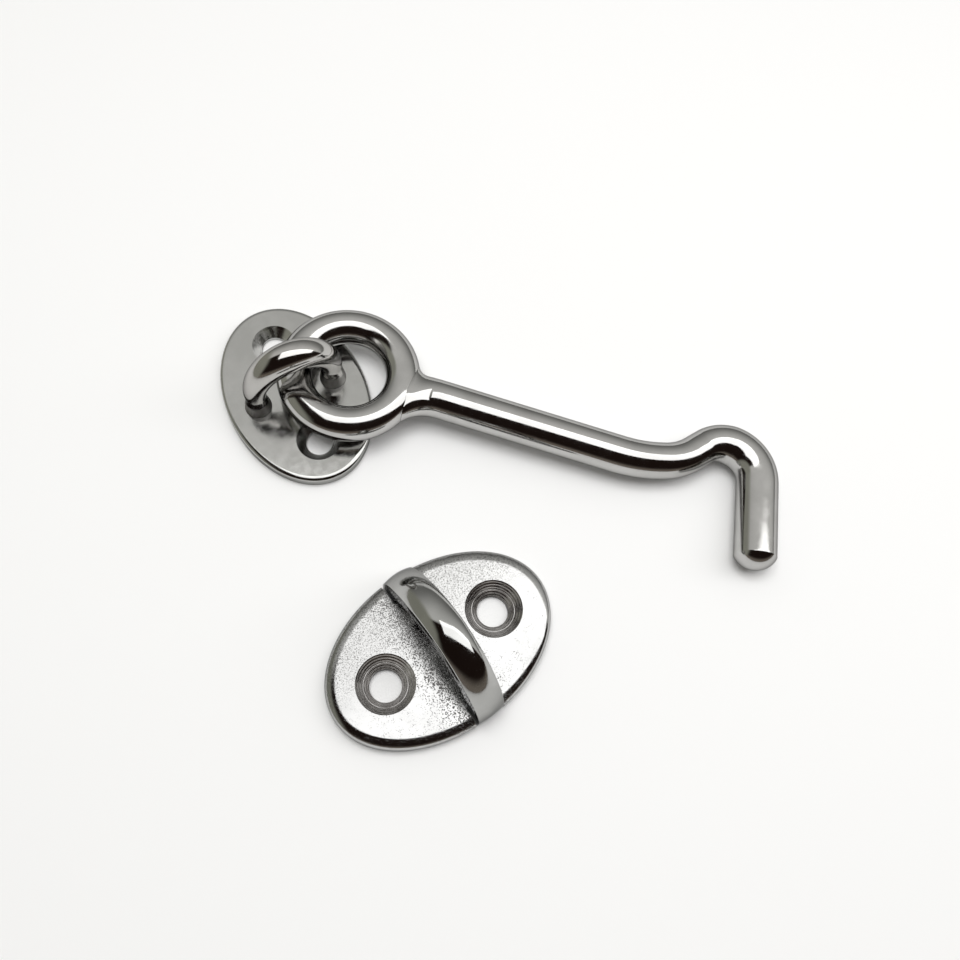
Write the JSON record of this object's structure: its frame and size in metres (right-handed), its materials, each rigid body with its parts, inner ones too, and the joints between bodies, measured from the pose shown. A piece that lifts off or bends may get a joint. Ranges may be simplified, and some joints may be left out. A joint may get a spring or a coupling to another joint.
{
  "type": "hook and eye latch",
  "caption": "Hook and eye latch: an oval plate whose riveted staple holds a bent round-bar hook by its eye, and a loose oval catch plate with an arched bridge for the hook's tip.",
  "frame": {"origin": "centre of the hook plate's back face, which lies on the mounting surface", "axes": "+Z out of the mounting surface; Y along the hook plate's long axis, through both its screw holes; +X from the staple towards the free end of the hook"},
  "size_m": [0.0785, 0.0741, 0.0158],
  "materials": {
    "rolled_plate": "stainless steel sheet, polished to a soft mirror",
    "bright_rod": "stainless steel rod, mirror polished",
    "blasted_casting": "cast stainless steel, fine pitted face and a polished rim",
    "polished_arch": "cast stainless steel, mirror polished"
  },
  "bodies": {
    "hook_base": {"hook_plate": "rolled_plate", "hook_staple": "bright_rod"},
    "eye": {"eye_ring": "bright_rod"},
    "bar": {"hook_bar": "bright_rod"},
    "catch": {"catch_plate": "blasted_casting", "catch_bridge": "polished_arch"}
  },
  "joints": [
    {"name": "hook_lift", "type": "hinge", "parent": "hook_base", "child": "eye", "pos_m": [-0.00024, -0.00218, 0.00551], "axis": [0, -1, 0], "range_deg": [0, 180]},
    {"name": "hook_swing", "type": "hinge", "parent": "eye", "child": "bar", "pos_m": [0.00817, -0.00218, 0.0052], "axis": [0.0367, 0, 0.9993], "range_deg": [-25, 188]},
    {"name": "catch_lift", "type": "slide", "parent": "hook_base", "child": "catch", "axis": [0, 0, 1], "range_m": [0, 0.04]}
  ]
}
